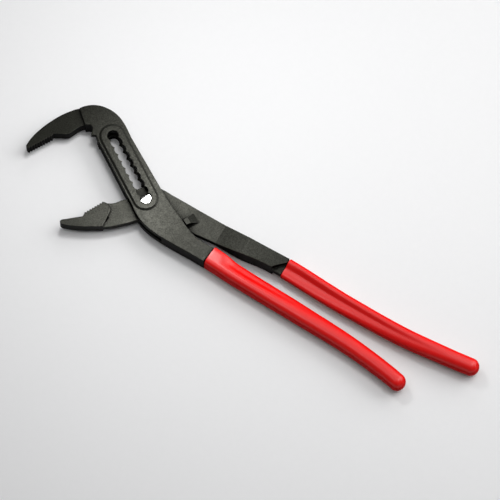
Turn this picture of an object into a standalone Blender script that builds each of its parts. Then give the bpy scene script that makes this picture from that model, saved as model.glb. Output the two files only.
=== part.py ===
"""Box-joint tongue and groove pliers, 300 mm size class.

Frame: the origin is on the pivot axis at the flat rear end of the pivot pin.  +Z points out of
the front face, +X runs from the jaws to the handle ends.  Outlines are given in millimetres.
"""
import math

import bpy
import bmesh
from mathutils import Matrix, Vector

MM = 0.001
MERGE = 0.000002

# Thicknesses, all centred on the middle plane of the tool.
MID = 5.0
ARM_HALF = 5.0
BOSS_HALF = 5.8
HOOK_HALF = 3.2
JAW_HALF = 3.1
BLADE_HALF = 1.7
BLADE_POCKET_HALF = 2.0
PIN_HALF = 5.0
LIP = 0.55

# The adjusting slot: seats at an even pitch along a line from the pivot to the upper jaw.
SLOT_ANGLE = math.radians(144.4)
SEAT_PITCH = 5.04
SEAT_COUNT = 10
SEAT_R = 3.45
CHANNEL_R = 3.55
SLOT_LENGTH = SEAT_PITCH * (SEAT_COUNT - 1)
ALONG = (math.cos(SLOT_ANGLE), math.sin(SLOT_ANGLE))
LEFT = (-math.sin(SLOT_ANGLE), math.cos(SLOT_ANGLE))
BOSS_TOP_R = 6.7
BOSS_FOOT_R = 7.7
BOSS_SHIFT = 0.3

# The pivot pin: D-shaped ends, round middle.
PIN_R = 3.2
PIN_FLAT = 1.0
PIN_SHOULDER = 1.5
PIN_FLAT_ANGLE = math.radians(157.3)
BORE_R = 3.45

# The dip-coated grips.
COAT = 0.85
COAT_GAP = 0.3
TANG_SHORT = 3.2
TANG_BACK = 4.0
CAVITY_SHORT = 2.5
CAVITY_OPEN = 1.0

# How far a cutter runs past the surface it cuts, and how far a joined piece is sunk.
PAST = 1.0
SUNK = 0.5
SHY = 0.01

# Turns the XY plane of a side view into the XZ plane.
STAND_UP = Matrix.Rotation(math.radians(90), 4, "X")

CURVE_STEPS = 7
ARC_STEPS = 8
SMOOTH_BELOW = 30
CUTTERS = "cutters"


def clear_scene():
    for obj in list(bpy.data.objects):
        bpy.data.objects.remove(obj, do_unlink=True)


def collection(name):
    group = bpy.data.collections.new(name)
    bpy.context.scene.collection.children.link(group)
    return group


def material(name, colour, roughness, metallic):
    mat = bpy.data.materials.new(name)
    mat.use_nodes = True
    shader = mat.node_tree.nodes["Principled BSDF"]
    shader.inputs["Base Color"].default_value = (*colour, 1.0)
    shader.inputs["Roughness"].default_value = roughness
    shader.inputs["Metallic"].default_value = metallic
    return mat


def evaluated_mesh(obj):
    graph = bpy.context.evaluated_depsgraph_get()
    return bpy.data.meshes.new_from_object(obj.evaluated_get(graph), depsgraph=graph)


def weld(mesh):
    work = bmesh.new()
    work.from_mesh(mesh)
    bmesh.ops.remove_doubles(work, verts=work.verts, dist=MERGE)
    bmesh.ops.recalc_face_normals(work, faces=work.faces)
    work.to_mesh(mesh)
    work.free()


def slab(name, outline, low, high):
    """A flat piece between two heights; outline points are (x, y) corners or (x, y, 'round')."""
    curve = bpy.data.curves.new(name, "CURVE")
    curve.dimensions = "2D"
    curve.fill_mode = "BOTH"
    curve.resolution_u = CURVE_STEPS
    curve.render_resolution_u = 0
    curve.extrude = abs(high - low) / 2 * MM
    spline = curve.splines.new("BEZIER")
    spline.bezier_points.add(len(outline) - 1)
    for knot, point in zip(spline.bezier_points, outline):
        knot.co = (point[0] * MM, point[1] * MM, 0)
        kind = "AUTO" if len(point) == 3 else "VECTOR"
        knot.handle_left_type = kind
        knot.handle_right_type = kind
    spline.use_cyclic_u = True
    flat = bpy.data.objects.new(name, curve)
    flat.location = (0, 0, (low + high) / 2 * MM)
    bpy.context.scene.collection.objects.link(flat)
    bpy.context.view_layer.update()
    mesh = evaluated_mesh(flat)
    mesh.transform(flat.matrix_world)
    bpy.data.objects.remove(flat)
    bpy.data.curves.remove(curve)
    mesh.name = name
    weld(mesh)
    solid = bpy.data.objects.new(name, mesh)
    bpy.context.scene.collection.objects.link(solid)
    return solid


def centred_slab(name, outline, half):
    return slab(name, outline, MID - half, MID + half)


def loft(name, rings):
    """A closed solid through rings of equally many points, capped at both ends."""
    work = bmesh.new()
    rows = [[work.verts.new(Vector(p) * MM) for p in ring] for ring in rings]
    count = len(rings[0])
    for lower, upper in zip(rows, rows[1:]):
        for i in range(count):
            j = (i + 1) % count
            work.faces.new((lower[i], lower[j], upper[j], upper[i]))
    work.faces.new(list(reversed(rows[0])))
    work.faces.new(rows[-1])
    bmesh.ops.triangulate(work, faces=[f for f in work.faces if len(f.verts) > 4])
    bmesh.ops.recalc_face_normals(work, faces=work.faces)
    mesh = bpy.data.meshes.new(name)
    work.to_mesh(mesh)
    work.free()
    solid = bpy.data.objects.new(name, mesh)
    bpy.context.scene.collection.objects.link(solid)
    return solid


def boolean(target, tool, operation):
    """Apply an exact Boolean; a joined piece goes, a cutter stays behind as a hidden guide."""
    modifier = target.modifiers.new(operation.lower(), "BOOLEAN")
    modifier.operation = operation
    modifier.solver = "EXACT"
    modifier.object = tool
    bpy.context.view_layer.update()
    result = evaluated_mesh(target)
    target.modifiers.remove(modifier)
    target.data = result
    weld(target.data)
    if operation == "UNION":
        bpy.data.objects.remove(tool)
    else:
        put_in(tool, bpy.data.collections[CUTTERS])
        tool.hide_render = True
        tool.display_type = "WIRE"
    return target


def union(target, *others):
    for other in others:
        boolean(target, other, "UNION")
    return target


def cut(target, *tools):
    for tool in tools:
        boolean(target, tool, "DIFFERENCE")
    return target


def put_in(obj, group):
    for owner in list(obj.users_collection):
        owner.objects.unlink(obj)
    group.objects.link(obj)


def finish(obj, name, group, mat):
    obj.name = name
    obj.data.name = name
    obj.data.materials.clear()
    obj.data.materials.append(mat)
    obj.data.shade_smooth()
    obj.data.set_sharp_from_angle(angle=math.radians(SMOOTH_BELOW))
    put_in(obj, group)


def slot_point(along, left):
    return (along * ALONG[0] + left * LEFT[0], along * ALONG[1] + left * LEFT[1])


def arc(along, left, radius, start, stop, steps):
    """Points on an arc about a point of the slot's line; angles count from the slot direction."""
    centre = slot_point(along, left)
    points = []
    for i in range(steps + 1):
        angle = SLOT_ANGLE + math.radians(start + (stop - start) * i / steps)
        points.append((centre[0] + radius * math.cos(angle), centre[1] + radius * math.sin(angle)))
    return points


def stadium(radius, left=0.0):
    top = arc(SLOT_LENGTH, left, radius, -90, 90, 2 * ARC_STEPS)
    tail = arc(0, left, radius, 90, 270, 2 * ARC_STEPS)
    return top + tail


def scalloped_slot():
    """Overlapping seats: each contributes the arc between its two cusps."""
    cusp = math.degrees(math.acos(SEAT_PITCH / 2 / SEAT_R))
    last = SEAT_COUNT - 1
    points = []
    for seat in range(SEAT_COUNT):
        stop = -cusp if seat < last else 0
        start = -180 + cusp if seat > 0 else -180
        points += arc(seat * SEAT_PITCH, 0, SEAT_R, start, stop, ARC_STEPS)[:-1]
    for seat in reversed(range(SEAT_COUNT)):
        start = cusp if seat < last else 0
        stop = 180 - cusp if seat > 0 else 180
        points += arc(seat * SEAT_PITCH, 0, SEAT_R, start, stop, ARC_STEPS)[:-1]
    return points


def teeth(start, stop, count, depth):
    """Saw teeth from start towards stop, cut to the left of that direction."""
    dx = (stop[0] - start[0]) / count
    dy = (stop[1] - start[1]) / count
    size = math.hypot(dx, dy)
    nx, ny = -dy / size * depth, dx / size * depth
    points = []
    for i in range(count):
        points.append((start[0] + dx * i, start[1] + dy * i))
        points.append((start[0] + dx * (i + 0.5) + nx, start[1] + dy * (i + 0.5) + ny))
    return points


# Handle stations: x, centre y, width, half thickness, distance from the palm edge to the crest,
# squareness of the palm side, squareness of the inner side, and how much of the height the
# inner side loses.  The palm is +1 where the palm edge faces +Y and -1 where it faces -Y, and
# run is the share of the width over which the inner side falls.
LOWER_HANDLE = dict(
    palm=-1, start=50.2, end=186.8, run=0.34,
    stations=(
        (44.0, -13.6, 12.0, 6.0, 4.9, 3.7, 7.0, 0.0),
        (51.0, -14.2, 12.1, 6.0, 4.9, 3.5, 7.0, 0.0),
        (57.5, -15.0, 12.1, 6.0, 4.8, 3.2, 6.0, 0.0),
        (64.0, -15.9, 12.2, 6.0, 4.5, 2.8, 3.6, 0.24),
        (70.0, -16.6, 12.2, 6.0, 4.4, 2.6, 3.0, 0.30),
        (80.0, -17.6, 12.2, 6.0, 4.4, 2.5, 2.6, 0.28),
        (110.0, -20.5, 11.8, 5.9, 5.0, 2.4, 2.4, 0.14),
        (148.0, -24.7, 10.6, 5.8, 5.2, 2.3, 2.3, 0.0),
        (175.0, -29.8, 10.0, 5.7, 5.0, 2.3, 2.3, 0.0),
        (188.0, -33.2, 9.9, 5.6, 5.0, 2.3, 2.3, 0.0),
    ),
)
UPPER_HANDLE = dict(
    palm=1, start=92.5, end=219.7, run=0.26,
    stations=(
        (86.0, 1.1, 11.8, 6.0, 3.6, 3.0, 3.6, 0.50),
        (92.5, 0.6, 12.0, 6.0, 3.6, 2.8, 3.4, 0.50),
        (102.0, -0.2, 12.2, 6.0, 3.6, 2.5, 3.0, 0.50),
        (118.0, -2.0, 12.1, 6.0, 3.7, 2.4, 2.7, 0.45),
        (135.0, -3.5, 11.7, 6.0, 3.8, 2.3, 2.5, 0.36),
        (170.0, -5.3, 11.0, 5.9, 4.0, 2.3, 2.3, 0.18),
        (201.0, -4.2, 10.0, 5.8, 4.2, 2.3, 2.3, 0.0),
        (213.0, -3.4, 9.8, 5.7, 4.4, 2.3, 2.3, 0.0),
        (221.0, -2.8, 9.7, 5.6, 4.4, 2.3, 2.3, 0.0),
    ),
)
RING_STEP = 5.0
TIP_ANGLES = (0, 20, 38, 54, 68, 79)
PROFILE_STEPS = 13
AHEAD = 0.5


def at_station(stations, x):
    """Smoothly interpolated station values at a place along the handle (cubic Hermite)."""
    last = len(stations) - 1
    i = 0
    while i < last - 1 and x > stations[i + 1][0]:
        i += 1

    def slope(k, column):
        a, b = stations[max(k - 1, 0)], stations[min(k + 1, last)]
        return (b[column] - a[column]) / (b[0] - a[0])

    low, high = stations[i], stations[i + 1]
    span = high[0] - low[0]
    t = (x - low[0]) / span
    values = []
    for column in range(1, len(low)):
        h00 = (1 + 2 * t) * (1 - t) ** 2
        h10 = t * (1 - t) ** 2
        h01 = t * t * (3 - 2 * t)
        h11 = t * t * (t - 1)
        value = h00 * low[column] + h01 * high[column]
        values.append(value + span * (h10 * slope(i, column) + h11 * slope(i + 1, column)))
    return values


def half_profile(width, half, ridge, palm_power, inner_power, groove, run):
    """Upper half of a handle section as (u, z), from the palm edge to the inner edge."""
    crest = width / 2 - ridge
    points = []
    for i in range(PROFILE_STEPS + 1):
        angle = math.pi * i / PROFILE_STEPS
        c, s = math.cos(angle), abs(math.sin(angle))
        reach, power = (ridge, palm_power) if c > 0 else (width - ridge, inner_power)
        u = crest + math.copysign(abs(c) ** (2 / power), c) * reach
        fall = min(1.0, max(0.0, (crest - u) / (run * width)))
        sink = 1 - max(0.0, groove) * fall * fall * (3 - 2 * fall)
        points.append((u, half * s ** (2 / power) * sink))
    return points


def handle_ring(form, x, inset, shrink, push):
    """One closed ring of a handle at x, pushed along its heading and shrunk near the tip."""
    y, width, half, ridge, palm_power, inner_power, groove = at_station(form["stations"], x)
    ahead = at_station(form["stations"], x + AHEAD)[0]
    heading = math.atan2(ahead - y, AHEAD)
    ux, uy = -math.sin(heading) * form["palm"], math.cos(heading) * form["palm"]
    upper = half_profile(
        (width - 2 * inset) * shrink, (half - inset) * shrink, (ridge - inset) * shrink,
        palm_power, inner_power, groove, form["run"],
    )
    loop = upper + [(u, -z) for u, z in reversed(upper[1:-1])]
    cx, cy = x + push * math.cos(heading), y + push * math.sin(heading)
    return [(cx + ux * u, cy + uy * u, MID + z) for u, z in loop]


def handle(name, form, start, end, inset):
    """A rounded handle form, with rings at the same places along x for its skin and its hollow."""
    tip_radius = at_station(form["stations"], end)[1] / 2 - inset
    shoulder = end - tip_radius
    first = math.floor(start / RING_STEP) + 1
    last = math.ceil(shoulder / RING_STEP) - 1
    places = [start] + [k * RING_STEP for k in range(first, last + 1)]
    rings = [handle_ring(form, x, inset, 1.0, 0.0) for x in places]
    for angle in TIP_ANGLES:
        turn = math.radians(angle)
        push = tip_radius * math.sin(turn)
        rings.append(handle_ring(form, shoulder, inset, math.cos(turn), push))
    return loft(name, rings)


def grip(form):
    """A dip-coated skin: open at the front, closed at the tip."""
    skin = handle("skin", form, form["start"], form["end"], 0.0)
    hollow = handle("hollow", form, form["start"] - CAVITY_OPEN, form["end"] - CAVITY_SHORT, COAT)
    return cut(skin, hollow)


def tang(form):
    """The forged handle bar inside a grip."""
    return handle(
        "bar", form, form["start"] - TANG_BACK, form["end"] - TANG_SHORT, COAT + COAT_GAP
    )


# Outlines of the slotted lever.
SLOTTED_BODY = (
    (-63.4, 33.1), (-61.0, 36.0, "round"), (-55.5, 39.6, "round"), (-48.5, 40.9, "round"),
    (-41.5, 39.9, "round"), (-35.4, 37.0, "round"), (-27.0, 30.8), (4.4, 9.9),
    (15.0, 3.3, "round"), (25.4, -2.3, "round"), (34.3, -6.8, "round"), (42.7, -8.7, "round"),
    (50.2, -9.1), (48.9, -19.4), (39.5, -18.7), (26.0, -18.0, "round"), (16.0, -17.0, "round"),
    (8.0, -15.3, "round"), (0.9, -12.1, "round"), (-7.0, -6.2), (-41.8, 18.9),
)
SLOTTED_THROAT = ((-44.9, 21.9), (-51.4, 26.6, "round"), (-55.0, 25.2))
EDGE_TEETH = (3, 0.7)
HOOK = (
    (-58.0, 32.0), (-60.5, 34.9), (-63.8, 33.4, "round"), (-67.6, 29.4, "round"),
    (-71.2, 24.3, "round"), (-74.6, 17.8, "round"), (-77.4, 10.5, "round"),
    (-79.2, 3.0, "round"), (-79.5, -2.6), (-78.0, -3.6),
)
HOOK_TEETH = ((-78.0, -3.6), (-69.2, 10.9), 10, -0.75)
HOOK_THROAT = (
    (-69.2, 10.9), (-69.1, 11.8), (-66.0, 13.4), (-61.2, 16.0, "round"),
    (-59.4, 19.4, "round"), (-57.7, 22.9, "round"), (-55.4, 25.6, "round"),
    (-52.0, 27.0, "round"), (-50.0, 30.0),
)
CHEEK_TOOTH = (
    (-51.6, 26.4), (-50.1, 25.5, "round"), (-49.2, 23.4), (-48.7, 21.0), (-47.4, 21.8),
    (-46.0, 22.3), (-44.6, 21.4), (-40.0, 18.0), (-42.0, 27.0),
)
# The blade's pocket between the cheeks: round the top seat, open at both edges of the arm.
POCKET_R = 12.9
POCKET_ARC = (-17.0, 58.0)
POCKET_LEFT = (-60.0, 10.0)
POCKET_FLOOR = (
    (-20.0, -24.0), (21.0, -21.0), (17.6, -10.8), (19.0, -9.0, "round"), (24.0, -8.0),
    (37.0, -7.3), (44.0, -5.0), (30.0, 20.0), (-20.0, 48.0), (-37.4, 47.9),
)

# Outlines of the through lever.
JAW_TOP = ((-20.9, -12.8), (-18.6, -11.9, "round"), (-16.0, -10.3, "round"))
JAW_TEETH = ((-27.5, -25.0), (-20.9, -12.8), 8, 0.8)
THROAT_TEETH = ((-13.4, -7.4), (-11.2, -5.2), 2, 0.45)
BLADE = (
    (-10.6, -1.5, "round"), (-8.6, 3.4, "round"), (-5.0, 7.6, "round"), (0.0, 10.4, "round"),
    (5.3, 11.0, "round"), (12.6, 10.4), (18.0, 10.1), (18.0, -7.0), (12.0, -9.0, "round"),
    (5.5, -11.3, "round"), (1.6, -13.3, "round"), (-1.6, -16.7, "round"),
    (-6.0, -20.8, "round"), (-9.6, -24.0, "round"), (-14.3, -27.2), (-14.0, -20.0),
)
JAW_TIP = (
    (-15.0, -15.3), (-14.0, -27.1), (-19.3, -30.0, "round"), (-23.3, -32.2, "round"),
    (-29.4, -34.9, "round"), (-33.6, -36.4, "round"), (-36.4, -36.8, "round"),
    (-37.6, -35.9, "round"), (-37.1, -34.4, "round"), (-35.4, -33.1), (-31.0, -29.5), (-27.4, -26.7),
)
TANG_PLAN = (
    (12.6, 10.5), (20.8, 9.95), (30.9, 9.25), (48.5, 8.15), (56.0, 7.55, "round"),
    (66.0, 6.7, "round"), (77.0, 6.2, "round"), (92.2, 5.6), (91.6, -4.4),
    (84.0, -3.9, "round"), (76.6, -3.9, "round"), (68.3, -4.5, "round"), (60.3, -4.9, "round"),
    (50.0, -4.8, "round"), (42.0, -5.0, "round"), (34.4, -5.3, "round"), (24.0, -6.0),
    (12.6, -8.6),
)
# Half thickness of the tang along x.
ENVELOPE_HALF = 30.0
TANG_RAMP = ((8.0, 1.55), (13.5, 1.65), (35.0, 1.68), (48.8, 1.72), (66.0, 5.0), (96.0, 5.0))
SCOOP = ((84.7, -6.0), (85.8, -3.0), (88.9, 0.0), (93.2, 3.7), (97.0, 4.0), (97.0, -8.0))
SCOOP_LEDGE = 1.9
SCOOP_TOP = 8.0
LUG_TOP = ((25.7, -1.8), (27.0, 1.0), (30.8, -1.1), (29.0, -3.5))
LUG_FOOT = ((25.7, -1.8), (28.9, 7.6), (35.6, 3.8), (29.0, -3.5))
LUG_HEIGHT = 4.7
LUG_SUNK = 0.5


def boss():
    """The raised oblong round the slot, with drafted sides, on both faces."""
    foot = stadium(BOSS_FOOT_R, BOSS_SHIFT)
    top = stadium(BOSS_TOP_R, BOSS_SHIFT)
    levels = (
        (top, MID - BOSS_HALF), (foot, MID - ARM_HALF), (foot, MID + ARM_HALF),
        (top, MID + BOSS_HALF),
    )
    return loft("boss", [[(x, y, z) for x, y in ring] for ring, z in levels])


def blade_pocket():
    top = arc(SLOT_LENGTH, 0, POCKET_R, *POCKET_ARC, 2 * ARC_STEPS)
    outline = POCKET_FLOOR + tuple(top) + (POCKET_LEFT,)
    return centred_slab("pocket", outline, BLADE_POCKET_HALF)


def slotted_lever():
    throat_start = SLOTTED_BODY[-1]
    edge = teeth(throat_start, SLOTTED_THROAT[0], *EDGE_TEETH)
    body = centred_slab("body", SLOTTED_BODY[:-1] + tuple(edge) + SLOTTED_THROAT, ARM_HALF)
    hook_outline = HOOK[:-1] + tuple(teeth(*HOOK_TEETH)) + HOOK_THROAT
    hook = centred_slab("hook", hook_outline, HOOK_HALF)
    tooth = slab("tooth", CHEEK_TOOTH, MID + BLADE_POCKET_HALF - SUNK, MID + ARM_HALF - SHY)
    lever = union(body, hook, tooth, boss(), tang(LOWER_HANDLE))
    channel = centred_slab("channel", stadium(CHANNEL_R), BOSS_HALF - LIP)
    seats = centred_slab("seats", scalloped_slot(), BOSS_HALF + PAST)
    return cut(lever, blade_pocket(), channel, seats)


def tang_envelope():
    """A side view of the tang's thickness, extruded across the tool."""
    upper = [(x, MID + half) for x, half in TANG_RAMP]
    lower = [(x, MID - half) for x, half in reversed(TANG_RAMP)]
    side = slab("envelope", tuple(upper + lower), -ENVELOPE_HALF, ENVELOPE_HALF)
    side.data.transform(STAND_UP)
    side.data.flip_normals()
    return side


def lug(sign):
    """The finger stop: flat beside the arm, sloping down away from it."""
    def level(points, height):
        return [(x, y, MID + sign * height) for x, y in points]

    return loft("lug", [level(LUG_FOOT, LUG_SUNK), level(LUG_TOP, LUG_HEIGHT)])


def through_lever():
    throat = JAW_TOP + tuple(teeth(*THROAT_TEETH)) + (THROAT_TEETH[1],)
    blade = centred_slab("blade", throat + BLADE, BLADE_HALF)
    tip_outline = JAW_TIP + tuple(teeth(*JAW_TEETH)) + JAW_TOP[:1] + ((-19.3, -12.6),)
    tip = centred_slab("tip", tip_outline, JAW_HALF)
    plan = centred_slab("plan", TANG_PLAN, ARM_HALF + PAST)
    bar_root = boolean(plan, tang_envelope(), "INTERSECT")
    for sign in (1, -1):
        scoop = slab("scoop", SCOOP, MID + sign * SCOOP_LEDGE, MID + sign * SCOOP_TOP)
        cut(bar_root, scoop)
    handle_bar = union(bar_root, tang(UPPER_HANDLE), lug(1), lug(-1))
    lever = union(handle_bar, blade, tip)
    bore = centred_slab("bore", circle(BORE_R), BLADE_HALF + PAST)
    return cut(lever, bore)


def circle(radius):
    return arc(0, 0, radius, 0, 360, 4 * ARC_STEPS)[:-1]


def pin_flat():
    """The half plane cut off a pin end, leaving a D with its flat facing up the slot."""
    nx, ny = math.cos(PIN_FLAT_ANGLE), math.sin(PIN_FLAT_ANGLE)
    side = PIN_R + PAST
    corners = ((PIN_FLAT, -side), (side, -side), (side, side), (PIN_FLAT, side))
    return [(nx * out - ny * across, ny * out + nx * across) for out, across in corners]


def pivot_pin():
    pin = centred_slab("pin", circle(PIN_R), PIN_HALF)
    for sign in (1, -1):
        shoulder = MID + sign * PIN_SHOULDER
        cut(pin, slab("flat", pin_flat(), shoulder, MID + sign * (PIN_HALF + PAST)))
    return pin


def build():
    clear_scene()
    group = collection("tongue_and_groove_pliers")
    collection(CUTTERS)
    forged = material("black_oxide_steel", (0.055, 0.056, 0.050), 0.48, 1.0)
    bright = material("polished_steel", (0.86, 0.86, 0.84), 0.18, 1.0)
    red = material("dipped_red_vinyl", (0.62, 0.012, 0.012), 0.32, 0.0)
    finish(slotted_lever(), "slotted_lever", group, forged)
    finish(through_lever(), "through_lever", group, forged)
    finish(pivot_pin(), "pivot_pin", group, bright)
    finish(grip(LOWER_HANDLE), "lower_grip", group, red)
    finish(grip(UPPER_HANDLE), "upper_grip", group, red)


build()
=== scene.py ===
"""Looks of the box-joint pliers: forged black levers, a bright pivot pin and dip-coated red grips.

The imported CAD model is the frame.  Lengths below are millimetres unless a name says otherwise.
"""

import math

import bmesh
import bpy
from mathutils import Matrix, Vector

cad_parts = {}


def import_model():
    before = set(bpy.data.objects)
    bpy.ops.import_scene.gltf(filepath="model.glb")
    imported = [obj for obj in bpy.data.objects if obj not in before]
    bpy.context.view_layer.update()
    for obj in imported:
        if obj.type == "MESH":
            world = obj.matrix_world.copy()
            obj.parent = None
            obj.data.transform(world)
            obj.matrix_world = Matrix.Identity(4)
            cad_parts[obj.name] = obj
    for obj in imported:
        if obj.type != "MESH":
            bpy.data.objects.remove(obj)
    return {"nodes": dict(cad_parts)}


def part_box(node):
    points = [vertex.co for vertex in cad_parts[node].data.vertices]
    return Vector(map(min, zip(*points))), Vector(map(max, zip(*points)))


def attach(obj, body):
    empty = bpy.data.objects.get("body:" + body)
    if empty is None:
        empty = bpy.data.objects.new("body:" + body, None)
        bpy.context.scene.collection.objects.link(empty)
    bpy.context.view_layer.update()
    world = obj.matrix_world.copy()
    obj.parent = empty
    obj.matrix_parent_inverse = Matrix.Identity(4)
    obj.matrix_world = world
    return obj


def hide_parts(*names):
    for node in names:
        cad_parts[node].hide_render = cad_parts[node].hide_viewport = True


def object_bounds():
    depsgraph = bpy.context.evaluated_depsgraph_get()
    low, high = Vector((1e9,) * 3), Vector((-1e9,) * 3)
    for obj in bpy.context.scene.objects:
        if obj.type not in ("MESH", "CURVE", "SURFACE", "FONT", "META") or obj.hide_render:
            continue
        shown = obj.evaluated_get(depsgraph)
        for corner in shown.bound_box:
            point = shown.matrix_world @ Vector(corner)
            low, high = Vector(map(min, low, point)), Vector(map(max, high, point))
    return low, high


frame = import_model()
CAD_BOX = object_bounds()

MM = 0.001

WELD = 0.000002

# Forged levers, refined from the CAD solids.
VOXEL = 0.16
EDGE_SOFTENING = 2
FORGING_GRAIN = 1.3
FORGING_RELIEF = 0.02
FORGING_OCTAVES = 3
KEEP_FACES = 0.3

# The pivot pin, from its CAD box.
PIN_STEPS = 96
PIN_FLAT = 1.0
PIN_FLAT_ANGLE = math.radians(157.3)
PIN_SHOULDER = 3.5
PIN_CHAMFER = 0.25
PIN_SHARP_ABOVE = math.radians(30)
# Height over the middle plane where the pin's bright end begins and is full; nearer the middle the
# pin is painted dark as shade.
PIN_BRIGHT = (4.5, 4.8)

# Grip stations along x: centre y, width, half thickness, distance from the palm edge to the
# crest, squareness of the palm side and of the inner side, and how much of the height the inner
# side loses.  The palm is +1 where the palm edge faces +Y, and run is the share of the width
# over which the inner side falls.
MID_Z = 5.0
LOWER_GRIP = dict(
    palm=-1, start=50.2, end=186.8, run=0.34,
    stations=(
        (44.0, -13.6, 12.0, 6.0, 4.9, 3.7, 7.0, 0.0),
        (51.0, -14.2, 12.1, 6.0, 4.9, 3.5, 7.0, 0.0),
        (57.5, -15.0, 12.1, 6.0, 4.8, 3.2, 6.0, 0.0),
        (64.0, -15.9, 12.2, 6.0, 4.5, 2.8, 3.6, 0.24),
        (70.0, -16.6, 12.2, 6.0, 4.4, 2.6, 3.0, 0.30),
        (80.0, -17.6, 12.2, 6.0, 4.4, 2.5, 2.6, 0.28),
        (110.0, -20.5, 11.8, 5.9, 5.0, 2.4, 2.4, 0.14),
        (148.0, -24.7, 10.6, 5.8, 5.2, 2.3, 2.3, 0.0),
        (175.0, -29.8, 10.0, 5.7, 5.0, 2.3, 2.3, 0.0),
        (188.0, -33.2, 9.9, 5.6, 5.0, 2.3, 2.3, 0.0),
    ),
)
UPPER_GRIP = dict(
    palm=1, start=92.5, end=219.7, run=0.26,
    stations=(
        (86.0, 1.1, 11.8, 6.0, 3.6, 3.0, 3.6, 0.50),
        (92.5, 0.6, 12.0, 6.0, 3.6, 2.8, 3.4, 0.50),
        (102.0, -0.2, 12.2, 6.0, 3.6, 2.5, 3.0, 0.50),
        (118.0, -2.0, 12.1, 6.0, 3.7, 2.4, 2.7, 0.45),
        (135.0, -3.5, 11.7, 6.0, 3.8, 2.3, 2.5, 0.36),
        (170.0, -5.3, 11.0, 5.9, 4.0, 2.3, 2.3, 0.18),
        (201.0, -4.2, 10.0, 5.8, 4.2, 2.3, 2.3, 0.0),
        (213.0, -3.4, 9.8, 5.7, 4.4, 2.3, 2.3, 0.0),
        (221.0, -2.8, 9.7, 5.6, 4.4, 2.3, 2.3, 0.0),
    ),
)
COAT = 0.85
CAVITY_SHORT = 2.5
GRIP_RING = 1.4
GRIP_HALF_STEPS = 40
AHEAD = 0.5
TIP_STEPS = 14
LIP_STEPS = 6
LIP_RADIUS = 0.22
COAT_WAVE = 14.0
COAT_RELIEF = 0.05
COAT_OCTAVES = 0

# Colours, as linear red, green, blue and alpha.
OXIDE_DEEP = (0.0080, 0.0080, 0.0066, 1)
OXIDE_PALE = (0.0125, 0.0130, 0.0100, 1)
OXIDE_GRAIN = (0.030, 0.0305, 0.0255, 1)
# Painted shade: the dark colour that walls and hollows take, where shade falls.
OXIDE_PAINTED_SHADE = (0.0035, 0.0035, 0.0034, 1)
# Edge wear and painted highlight: the lighter colour of outer edges.
OXIDE_EDGE_WEAR_AND_HIGHLIGHT = (0.085, 0.083, 0.075, 1)
OXIDE_GLINT = (1.0, 1.0, 0.87, 1)
# Painted shade: the colour of the pin's sides and shoulder, away from its bright ends.
PIN_SHADED = (0.05, 0.05, 0.048, 1)
PIN_DULL = (0.90, 0.90, 0.88, 1)
PIN_CLEAN = (0.97, 0.97, 0.95, 1)
VINYL_DEEP = (0.80, 0.0050, 0.0040, 1)
VINYL_PALE = (0.88, 0.0065, 0.0050, 1)
VINYL_STREAK = (0.64, 0.0038, 0.0032, 1)
# Painted shade: the darker red of the grips' sides.
VINYL_PAINTED_SIDE_SHADE = (0.48, 0.0010, 0.0010, 1)
VINYL_BOUNCE = (0.42, 0.20, 0.18, 1)
PAPER_DEEP = (0.83, 0.83, 0.835, 1)
PAPER_PALE = (0.85, 0.85, 0.855, 1)
SKY = (0.93, 0.94, 0.96, 1)

# Camera and studio.
CAMERA_TARGET = (68.23, 1.66, 4.92)
CAMERA_DISTANCE = 2022.6
CAMERA_AZIMUTH = 28.3
CAMERA_ELEVATION = 65.5
CAMERA_LENS = 250.0
CAMERA_NEAR = 50.0
CAMERA_FAR = 50000.0
# Softboxes: name, aim, azimuth, elevation, distance, side and power in watts.  The two gloss boxes
# stand where the arm's face and the inner side of the grips mirror the camera.
MIDDLE = (85, 5, 5)
SOFTBOXES = (
    ("key_right", MIDDLE, 148.3, 30.0, 900, 700, 3.4),
    ("key_right_high", MIDDLE, 148.3, 55.0, 900, 600, 1.55),
    ("side_right", MIDDLE, 118.3, 30.0, 900, 350, 0.8),
    ("back", MIDDLE, 200.0, 30.0, 900, 350, 1.0),
    ("top_left", MIDDLE, 298.3, 78.0, 900, 600, 0.85),
    ("top_right", MIDDLE, 118.3, 70.0, 900, 450, 1.35),
    ("front_low", MIDDLE, 73.3, 55.0, 900, 350, 0.22),
    ("gloss", (12, -14, 10), 208.3, 65.5, 300, 70, 0.31),
    ("gloss_grips", (115, -6, 10), 318.0, 66.0, 300, 90, 0.05),
)
SKY_AS_LIGHT = 0.08
SKY_AS_SEEN = 0.95
FLOOR_HALF = 7000.0
FLOOR_GAP = 0.05


def link(obj):
    bpy.context.scene.collection.objects.link(obj)
    return obj


def applied(obj):
    """A new mesh with the object's modifiers applied; the object is dropped."""
    graph = bpy.context.evaluated_depsgraph_get()
    mesh = bpy.data.meshes.new_from_object(obj.evaluated_get(graph))
    bpy.data.objects.remove(obj)
    return mesh


def clouds(name, scale, octaves):
    texture = bpy.data.textures.new(name, "CLOUDS")
    texture.noise_scale = scale * MM
    texture.noise_depth = octaves
    return texture


def add_relief(obj, name, scale, height, octaves):
    """Small uneven relief, as a real displacement of the surface."""
    modifier = obj.modifiers.new(name, "DISPLACE")
    modifier.texture = clouds(name, scale, octaves)
    modifier.texture_coords = "GLOBAL"
    modifier.strength = 2 * height * MM
    modifier.mid_level = 0.5


def smooth_piece(name, mesh, material, body, nodes):
    mesh.name = name
    mesh.materials.clear()
    mesh.materials.append(material)
    mesh.shade_smooth()
    piece = link(bpy.data.objects.new(name, mesh))
    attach(piece, body)
    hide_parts(*nodes)
    return piece


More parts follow.
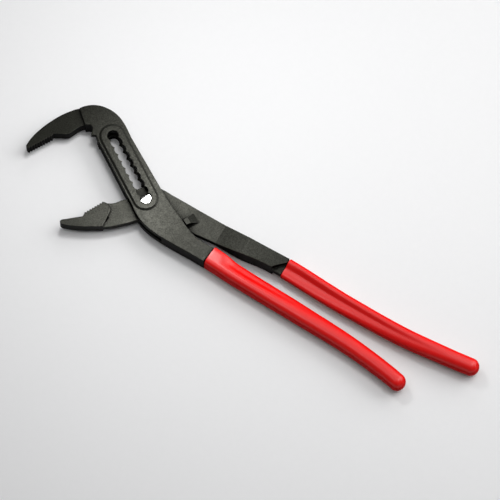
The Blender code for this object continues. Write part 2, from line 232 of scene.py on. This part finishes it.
def forged(name, node, body, material):
    """A forging made from a CAD solid: edges and corners softened, surface slightly uneven."""
    work = bmesh.new()
    work.from_mesh(frame["nodes"][node].data)
    bmesh.ops.remove_doubles(work, verts=work.verts, dist=WELD)
    mesh = bpy.data.meshes.new(name)
    work.to_mesh(mesh)
    work.free()
    solid = link(bpy.data.objects.new(name + "_rough", mesh))
    voxels = solid.modifiers.new("voxels", "REMESH")
    voxels.mode = "VOXEL"
    voxels.voxel_size = VOXEL * MM
    soften = solid.modifiers.new("soften", "SMOOTH")
    soften.factor = 0.5
    soften.iterations = EDGE_SOFTENING
    add_relief(solid, name + "_relief", FORGING_GRAIN, FORGING_RELIEF, FORGING_OCTAVES)
    thin = solid.modifiers.new("thin", "DECIMATE")
    thin.ratio = KEEP_FACES
    return smooth_piece(name, applied(solid), material, body, [node])


def loft(name, rings):
    """A closed surface through rings of equally many points (mm), capped at both ends."""
    work = bmesh.new()
    rows = [[work.verts.new(Vector(p) * MM) for p in ring] for ring in rings]
    count = len(rings[0])
    for lower, upper in zip(rows, rows[1:]):
        for i in range(count):
            j = (i + 1) % count
            work.faces.new((lower[i], lower[j], upper[j], upper[i]))
    work.faces.new(list(reversed(rows[0])))
    work.faces.new(rows[-1])
    bmesh.ops.remove_doubles(work, verts=work.verts, dist=WELD)
    bmesh.ops.recalc_face_normals(work, faces=work.faces)
    mesh = bpy.data.meshes.new(name)
    work.to_mesh(mesh)
    work.free()
    return mesh


def pin_ring(radius, flat, inset, z):
    """A round section, or a D where flat is less than the radius."""
    ring = []
    for i in range(PIN_STEPS):
        angle = 2 * math.pi * i / PIN_STEPS
        out = min((radius - inset) * math.cos(angle), flat - inset)
        across = (radius - inset) * math.sin(angle)
        c, s = math.cos(PIN_FLAT_ANGLE), math.sin(PIN_FLAT_ANGLE)
        ring.append((c * out - s * across, s * out + c * across, z))
    return ring


def pivot_pin(material):
    low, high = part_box("pivot_pin")
    radius = (high.x - low.x) / 2 / MM
    bottom, top = low.z / MM, high.z / MM
    shoulder = bottom + PIN_SHOULDER
    ends = (
        (PIN_FLAT, PIN_CHAMFER, bottom), (PIN_FLAT, 0.0, bottom + PIN_CHAMFER),
        (PIN_FLAT, 0.0, shoulder), (radius, 0.0, shoulder),
        (radius, 0.0, top - PIN_SHOULDER), (PIN_FLAT, 0.0, top - PIN_SHOULDER),
        (PIN_FLAT, 0.0, top - PIN_CHAMFER), (PIN_FLAT, PIN_CHAMFER, top),
    )
    mesh = loft("pivot_pin_bright", [pin_ring(radius, *end) for end in ends])
    piece = smooth_piece(
        "pivot_pin_bright", mesh, material, "pivot", ["pivot_pin"]
    )
    piece.data.set_sharp_from_angle(angle=PIN_SHARP_ABOVE)
    return piece


def at_station(stations, x):
    """Smoothly interpolated station values at a place along the handle (cubic Hermite)."""
    last = len(stations) - 1
    i = 0
    while i < last - 1 and x > stations[i + 1][0]:
        i += 1

    def slope(k, column):
        a, b = stations[max(k - 1, 0)], stations[min(k + 1, last)]
        return (b[column] - a[column]) / (b[0] - a[0])

    low, high = stations[i], stations[i + 1]
    span = high[0] - low[0]
    t = (x - low[0]) / span
    values = []
    for column in range(1, len(low)):
        h00 = (1 + 2 * t) * (1 - t) ** 2
        h10 = t * (1 - t) ** 2
        h01 = t * t * (3 - 2 * t)
        h11 = t * t * (t - 1)
        value = h00 * low[column] + h01 * high[column]
        values.append(value + span * (h10 * slope(i, column) + h11 * slope(i + 1, column)))
    return values


def half_profile(width, half, ridge, palm_power, inner_power, groove, run):
    """Upper half of a grip section as (u, z), from the palm edge to the inner edge."""
    crest = width / 2 - ridge
    points = []
    for i in range(GRIP_HALF_STEPS + 1):
        angle = math.pi * i / GRIP_HALF_STEPS
        c, s = math.cos(angle), abs(math.sin(angle))
        reach, power = (ridge, palm_power) if c > 0 else (width - ridge, inner_power)
        u = crest + math.copysign(abs(c) ** (2 / power), c) * reach
        fall = min(1.0, max(0.0, (crest - u) / (run * width)))
        sink = 1 - max(0.0, groove) * fall * fall * (3 - 2 * fall)
        points.append((u, half * s ** (2 / power) * sink))
    return points


def grip_ring(form, x, inset, shrink=1.0, push=0.0):
    """One closed ring of a grip at x, pushed along its heading and shrunk near the tip."""
    y, width, half, ridge, palm_power, inner_power, groove = at_station(form["stations"], x)
    ahead = at_station(form["stations"], x + AHEAD)[0]
    heading = math.atan2(ahead - y, AHEAD)
    ux, uy = -math.sin(heading) * form["palm"], math.cos(heading) * form["palm"]
    upper = half_profile(
        (width - 2 * inset) * shrink, (half - inset) * shrink, (ridge - inset) * shrink,
        palm_power, inner_power, groove, form["run"],
    )
    loop = upper + [(u, -z) for u, z in reversed(upper[1:-1])]
    cx, cy = x + push * math.cos(heading), y + push * math.sin(heading)
    return [(cx + ux * u, cy + uy * u, MID_Z + z) for u, z in loop]


def skin_rings(form, start, end, inset):
    """Rings of one skin, from its front to its rounded tip."""
    tip_radius = at_station(form["stations"], end)[1] / 2 - inset
    shoulder = end - tip_radius
    count = math.ceil((shoulder - start) / GRIP_RING)
    rings = []
    for i in range(count):
        x = start + (shoulder - start) * i / count
        rings.append(grip_ring(form, x, inset))
    for i in range(TIP_STEPS):
        turn = math.pi / 2 * i / TIP_STEPS
        push = tip_radius * math.sin(turn)
        rings.append(grip_ring(form, shoulder, inset, math.cos(turn), push))
    return rings


def lip_rings(form):
    """The front edge of the coating: a rounded corner outside, a flat, a rounded corner inside."""
    rings = []
    for inside in (False, True):
        for i in range(1, LIP_STEPS + 1):
            step = LIP_STEPS - i if inside else i
            turn = math.pi / 2 * step / LIP_STEPS
            depth = LIP_RADIUS * (1 - math.cos(turn))
            x = form["start"] + LIP_RADIUS * (1 - math.sin(turn))
            rings.append(grip_ring(form, x, COAT - depth if inside else depth))
    return rings[:-1]


def dipped_grip(name, form, node, body, material):
    """A dip-coated vinyl grip: one skin outside, a rolled lip, and the hollow for the handle."""
    front = form["start"] + LIP_RADIUS
    outer = skin_rings(form, front, form["end"], 0.0)
    inner = skin_rings(form, front, form["end"] - CAVITY_SHORT, COAT)
    rings = list(reversed(outer)) + lip_rings(form) + inner
    solid = link(bpy.data.objects.new(name + "_plain", loft(name + "_plain", rings)))
    add_relief(solid, name + "_relief", COAT_WAVE, COAT_RELIEF, COAT_OCTAVES)
    return smooth_piece(name, applied(solid), material, body, [node])


class Nodes:
    """A short way to write a material: nodes are made, set and linked in one call."""

    def __init__(self, name):
        self.material = bpy.data.materials.new(name)
        self.material.use_nodes = True
        self.tree = self.material.node_tree
        self.shader = self.tree.nodes["Principled BSDF"]

    def add(self, kind, inputs=None, **settings):
        node = self.tree.nodes.new(kind)
        for key, value in settings.items():
            setattr(node, key, value)
        for key, value in (inputs or {}).items():
            self.put(node.inputs[key], value)
        return node

    def put(self, socket, value):
        if isinstance(value, bpy.types.NodeSocket):
            self.tree.links.new(value, socket)
        else:
            socket.default_value = value

    def surface(self, **inputs):
        for key, value in inputs.items():
            self.put(self.shader.inputs[key.replace("_", " ")], value)

    def millimetres(self, stretch=(1.0, 1.0, 1.0)):
        place = self.add("ShaderNodeTexCoord").outputs["Object"]
        scale = tuple(s / MM for s in stretch)
        return self.add(
            "ShaderNodeVectorMath", {0: place, 1: scale}, operation="MULTIPLY"
        ).outputs[0]

    def along_x(self, low, high, start, stop):
        """A value that changes along the tool, from start to stop in millimetres."""
        x = self.add("ShaderNodeSeparateXYZ", {0: self.millimetres()}).outputs[0]
        return self.span(x, low, high, start, stop)

    def upright(self):
        """How squarely the surface faces along the tool's thickness, from 0 to 1."""
        normal = self.add("ShaderNodeTexCoord").outputs["Normal"]
        z = self.add("ShaderNodeSeparateXYZ", {0: normal}).outputs[2]
        return self.maths("ABSOLUTE", z, 0.0)

    def hollows(self, reach, inside=False):
        """1 in the open, towards 0 in hollows (or on outer edges, if inside) of that reach."""
        return self.add(
            "ShaderNodeAmbientOcclusion", {"Distance": reach * MM}, inside=inside, samples=6
        ).outputs["AO"]

    def noise(self, place, size, detail=3.0, roughness=0.5):
        """Noise whose lumps are about size millimetres across."""
        node = self.add(
            "ShaderNodeTexNoise",
            {"Vector": place, "Scale": 1.0 / size, "Detail": detail, "Roughness": roughness},
        )
        return node.outputs["Fac"]

    def span(self, value, low, high, start=0.3, stop=0.7):
        node = self.add(
            "ShaderNodeMapRange",
            {"Value": value, "From Min": start, "From Max": stop, "To Min": low, "To Max": high},
        )
        return node.outputs["Result"]

    def mix(self, share, first, second):
        node = self.add("ShaderNodeMix", {0: share, 6: first, 7: second}, data_type="RGBA")
        return node.outputs[2]

    def maths(self, operation, first, second):
        return self.add(
            "ShaderNodeMath", {0: first, 1: second}, operation=operation
        ).outputs[0]

    def bump(self, height, depth, normal=None):
        """A bump whose relief is about depth millimetres."""
        inputs = {"Height": height, "Distance": depth * MM, "Strength": 1.0}
        if normal is not None:
            inputs["Normal"] = normal
        return self.add("ShaderNodeBump", inputs).outputs["Normal"]


def oxide_painted_sheen(n, grains, face, open_air):
    """Painted sheen: how strongly the oxide reflects, set along the tool to be most on the arm's
    open faces and least on the hook, and lowered on walls and in hollows as painted shade.
    """
    shine = n.maths(
        "MULTIPLY", n.along_x(0.20, 0.37, -75.0, 5.0), n.along_x(1.0, 0.62, 10.0, 30.0)
    )
    shine = n.maths("MULTIPLY", shine, n.along_x(0.42, 1.0, -63.0, -44.0))
    shine = n.maths("MULTIPLY", shine, n.span(grains, 0.55, 1.35, 0.0, 1.0))
    shine = n.maths("MULTIPLY", shine, open_air)
    return n.maths("MULTIPLY", shine, n.span(face, 0.30, 1.0, 0.0, 1.0))


def black_oxide():
    """Forged steel with a black oxide finish: satin blasted faces; walls and hollows painted
    darker as shade, outer edges painted lighter as wear and highlight.
    """
    n = Nodes("black_oxide_steel")
    place = n.millimetres()
    patches = n.span(n.noise(place, 7.0, 4.0, 0.6), 0.0, 1.0)
    grains = n.span(n.noise(place, 0.75, 3.0, 0.75), 0.0, 1.0, 0.36, 0.64)
    face = n.span(n.upright(), 0.0, 1.0, 0.15, 0.55)
    open_air = n.span(n.hollows(6.0), 0.05, 1.0, 0.56, 0.89)
    edge = n.span(n.hollows(0.55, inside=True), 1.0, 0.0, 0.35, 0.75)
    colour = n.mix(patches, OXIDE_DEEP, OXIDE_PALE)
    colour = n.mix(n.maths("MULTIPLY", grains, 0.45), colour, OXIDE_GRAIN)
    # Painted shade: walls and hollows, found by an occlusion test, take the darker colour.
    colour = n.mix(n.maths("MULTIPLY", face, open_air), OXIDE_PAINTED_SHADE, colour)
    # Edge wear and painted highlight: outer edges turn lighter, broken up by the grain.
    edge_wear_and_highlight = n.maths("MULTIPLY", edge, n.span(grains, 0.15, 0.75, 0.0, 1.0))
    colour = n.mix(edge_wear_and_highlight, colour, OXIDE_EDGE_WEAR_AND_HIGHLIGHT)
    satin = n.span(n.noise(place, 3.0, 4.0), 0.31, 0.38)
    rough = n.maths("ADD", satin, n.span(face, 0.22, 0.0, 0.0, 1.0))
    height = n.bump(n.noise(place, 1.5, 3.0, 0.6), 0.030)
    n.surface(
        Base_Color=colour, Roughness=rough,
        Specular_IOR_Level=oxide_painted_sheen(n, grains, face, open_air), Specular_Tint=OXIDE_GLINT,
        Normal=n.bump(n.noise(place, 0.6, 3.0, 0.7), 0.035, height),
    )
    return n.material


def bright_steel():
    """Ground and polished steel on the ends, with faint turning rings; the rest is painted dark as
    shade.
    """
    n = Nodes("polished_steel")
    place = n.millimetres()
    rings = n.add(
        "ShaderNodeTexWave",
        {"Vector": place, "Scale": 1.9, "Distortion": 0.6, "Detail": 2.0},
        wave_type="RINGS", rings_direction="Z",
    ).outputs["Fac"]
    smudge = n.noise(place, 1.5, 3.0)
    z = n.add("ShaderNodeSeparateXYZ", {0: place}).outputs[2]
    height = n.maths("ABSOLUTE", n.maths("SUBTRACT", z, MID_Z), 0.0)
    flat = n.span(n.upright(), 0.0, 1.0, 0.6, 0.9)
    end = n.maths("MULTIPLY", flat, n.span(height, 0.0, 1.0, *PIN_BRIGHT))
    polish = n.span(smudge, 0.10, 0.20)
    n.surface(
        # Painted shade: everything but the flat ends takes the dark colour.
        Base_Color=n.mix(end, PIN_SHADED, n.mix(smudge, PIN_DULL, PIN_CLEAN)),
        Metallic=1.0, Roughness=n.maths("ADD", polish, n.span(end, 0.2, 0.0, 0.0, 1.0)),
        Normal=n.bump(rings, 0.002),
    )
    return n.material


def red_vinyl():
    """Dip-coated soft vinyl: saturated red, glossy face on, its sides painted darker as shade."""
    n = Nodes("dipped_red_vinyl")
    place = n.millimetres()
    tone = n.span(n.noise(place, 22.0, 3.0), 0.0, 1.0)
    colour = n.mix(tone, VINYL_DEEP, VINYL_PALE)
    streaks = n.noise(n.millimetres((0.12, 1.0, 1.0)), 1.6, 3.0)
    colour = n.mix(n.span(streaks, 0.0, 0.15), colour, VINYL_STREAK)
    # Painted shade: surfaces turned away from facing up take the darker red.
    colour = n.mix(n.span(n.upright(), 0.0, 1.0, 0.20, 0.75), VINYL_PAINTED_SIDE_SHADE, colour)
    bounced = n.add("ShaderNodeLightPath").outputs["Is Diffuse Ray"]
    colour = n.mix(bounced, colour, VINYL_BOUNCE)
    rough = n.span(n.noise(place, 5.0, 4.0), 0.29, 0.36)
    away = n.add("ShaderNodeLayerWeight", {"Blend": 0.5}).outputs["Facing"]
    peel = n.bump(n.noise(place, 2.2, 2.0), 0.012)
    n.surface(
        Base_Color=colour, Roughness=rough,
        Specular_IOR_Level=n.span(away, 0.60, 0.02, 0.12, 0.42),
        Normal=n.bump(n.noise(place, 0.5, 2.0), 0.003, peel),
    )
    return n.material


def floor_material():
    """Matt pale paper, unseen from below."""
    n = Nodes("pale_floor")
    place = n.millimetres()
    fibre = n.noise(place, 3.0, 4.0)
    n.surface(
        Base_Color=n.mix(fibre, PAPER_DEEP, PAPER_PALE),
        Roughness=0.75, Specular_IOR_Level=0.2,
    )
    under = n.add("ShaderNodeNewGeometry").outputs["Backfacing"]
    clear = n.add("ShaderNodeBsdfTransparent").outputs[0]
    mixed = n.add(
        "ShaderNodeMixShader", {0: under, 1: n.shader.outputs[0], 2: clear}
    ).outputs[0]
    output = n.tree.nodes["Material Output"]
    n.put(output.inputs["Surface"], mixed)
    return n.material


def floor():
    z = CAD_BOX[0].z - FLOOR_GAP * MM
    half = FLOOR_HALF * MM
    mesh = bpy.data.meshes.new("studio_floor")
    corners = [(-half, -half, z), (half, -half, z), (half, half, z), (-half, half, z)]
    mesh.from_pydata(corners, [], [(0, 1, 2, 3)])
    mesh.materials.append(floor_material())
    link(bpy.data.objects.new("studio_floor", mesh))


def direction(azimuth, elevation):
    """Unit vector from the object towards a viewer or lamp at that azimuth and elevation."""
    a, e = math.radians(azimuth), math.radians(elevation)
    return Vector((math.sin(a) * math.cos(e), -math.cos(a) * math.cos(e), math.sin(e)))


def softbox(name, aim, towards, distance, size, power):
    data = bpy.data.lights.new(name, "AREA")
    data.shape = "SQUARE"
    data.size = size * MM
    data.energy = power
    lamp = link(bpy.data.objects.new(name, data))
    lamp.location = (Vector(aim) + towards * distance) * MM
    lamp.rotation_mode = "QUATERNION"
    lamp.rotation_quaternion = towards.to_track_quat("Z", "Y")
    lamp.visible_camera = False


def world():
    """Pale to the camera, dim as a light."""
    scene_world = bpy.data.worlds.new("studio")
    bpy.context.scene.world = scene_world
    scene_world.use_nodes = True
    tree = scene_world.node_tree
    back = tree.nodes["Background"]
    back.inputs["Color"].default_value = SKY
    seen = tree.nodes.new("ShaderNodeLightPath").outputs["Is Camera Ray"]
    strength = tree.nodes.new("ShaderNodeMapRange")
    tree.links.new(seen, strength.inputs["Value"])
    strength.inputs["To Min"].default_value = SKY_AS_LIGHT
    strength.inputs["To Max"].default_value = SKY_AS_SEEN
    tree.links.new(strength.outputs["Result"], back.inputs["Strength"])


def studio():
    floor()
    world()
    for name, aim, azimuth, elevation, distance, size, power in SOFTBOXES:
        softbox(name, aim, direction(azimuth, elevation), distance, size, power)


def camera():
    data = bpy.data.cameras.new("camera")
    data.lens = CAMERA_LENS
    data.clip_start = CAMERA_NEAR * MM
    data.clip_end = CAMERA_FAR * MM
    view = link(bpy.data.objects.new("camera", data))
    back = direction(CAMERA_AZIMUTH, CAMERA_ELEVATION)
    view.location = (Vector(CAMERA_TARGET) + back * CAMERA_DISTANCE) * MM
    view.rotation_mode = "QUATERNION"
    view.rotation_quaternion = (-back).to_track_quat("-Z", "Y")
    bpy.context.scene.camera = view


def build():
    steel = black_oxide()
    vinyl = red_vinyl()
    forged("slotted_lever_forged", "slotted_lever", "slotted_side", steel)
    forged("through_lever_forged", "through_lever", "through_side", steel)
    pivot_pin(bright_steel())
    dipped_grip("lower_grip_dipped", LOWER_GRIP, "lower_grip", "slotted_side", vinyl)
    dipped_grip("upper_grip_dipped", UPPER_GRIP, "upper_grip", "through_side", vinyl)
    studio()
    camera()
    bpy.context.scene.view_settings.view_transform = "Standard"


build()
